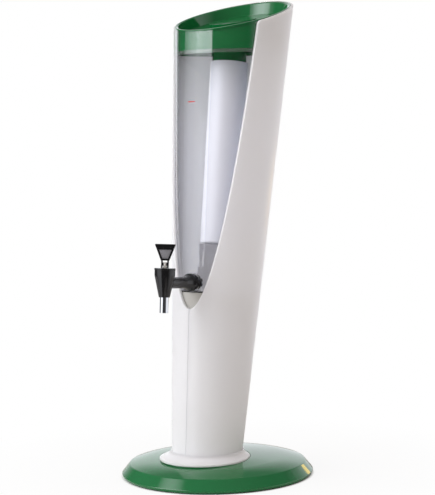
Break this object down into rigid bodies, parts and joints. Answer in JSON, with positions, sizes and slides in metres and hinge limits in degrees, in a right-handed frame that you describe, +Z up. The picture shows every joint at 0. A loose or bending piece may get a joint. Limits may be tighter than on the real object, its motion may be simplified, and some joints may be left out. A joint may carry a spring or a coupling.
{
  "type": "beer tower",
  "caption": "Table-top beer tower: leaning conical column on a weighted round base, clear lift-out vessel with a self-closing lever tap, slanted green lid and hanging ice tube",
  "frame": {"origin": "middle of the round base, at the level of the table top", "axes": "+Z up, the tap faces -Y and the column leans back towards +Y, +X to the right of the tap seen from the front"},
  "size_m": [0.25, 0.2658, 0.6204],
  "materials": {
    "green_plastic": "glossy moulded green plastic",
    "white_plastic": "satin-gloss white plastic",
    "cradle_plastic": "off-white moulded plastic",
    "clear_plastic": "clear polished plastic",
    "tube_plastic": "translucent white plastic",
    "black_plastic": "semi-gloss black plastic",
    "stem_plastic": "natural acetal plastic",
    "plate_plastic": "black moulded plastic",
    "chrome": "polished chrome plate",
    "steel": "zinc-plated steel",
    "iron": "bare cast iron",
    "pale_seal": "translucent silicone",
    "black_rubber": "black rubber"
  },
  "bodies": {
    "stand": {"base_cover": "green_plastic", "base_plate": "plate_plastic", "ballast_weight": "iron", "rubber_pad": "black_rubber", "base_screws": "steel", "column_screws": "steel", "foot_collar": "white_plastic", "column_shell_left": "white_plastic", "column_shell_right": "white_plastic", "vessel_cradle": "cradle_plastic", "cradle_screws": "steel"},
    "vessel": {"beer_vessel": "clear_plastic", "tap_body": "black_plastic", "tap_outer_washer": "black_rubber", "tap_inner_washer": "black_rubber", "tap_lock_nut": "black_plastic", "tap_bonnet": "black_plastic", "spout_tube": "chrome", "seat_cup": "pale_seal"},
    "lid": {"lid": "green_plastic", "lid_gasket": "pale_seal", "tube_seal": "pale_seal"},
    "ice_tube": {"ice_tube": "tube_plastic"},
    "stem": {"valve_stem": "stem_plastic"},
    "lever": {"tap_lever": "black_plastic", "lever_pin": "steel"}
  },
  "joints": [
    {"name": "vessel_lift", "type": "slide", "parent": "stand", "child": "vessel", "axis": [0, 0.138, 0.9904], "range_m": [0, 0.42]},
    {"name": "lid_lift", "type": "slide", "parent": "vessel", "child": "lid", "axis": [0, 0.138, 0.9904], "range_m": [0, 0.34]},
    {"name": "ice_tube_pull", "type": "slide", "parent": "lid", "child": "ice_tube", "axis": [0, -0.138, -0.9904], "range_m": [0, 0.022]},
    {"name": "stem_lift", "type": "slide", "parent": "vessel", "child": "stem", "axis": [0, 0.0807, 0.9967], "range_m": [0, 0.0016], "deforming": ["seat_cup"]},
    {"name": "lever_tilt", "type": "hinge", "parent": "stem", "child": "lever", "pos_m": [0, -0.09955, 0.2838], "axis": [0.848, 0.5282, -0.0428], "range_deg": [0, 40], "stiffness_Nm_per_rad": 0.06, "springref_deg": -11.46}
  ],
  "couplings": [
    {"joint": "lever_tilt", "follows": "stem_lift", "rad_per_m": 436.33}
  ]
}
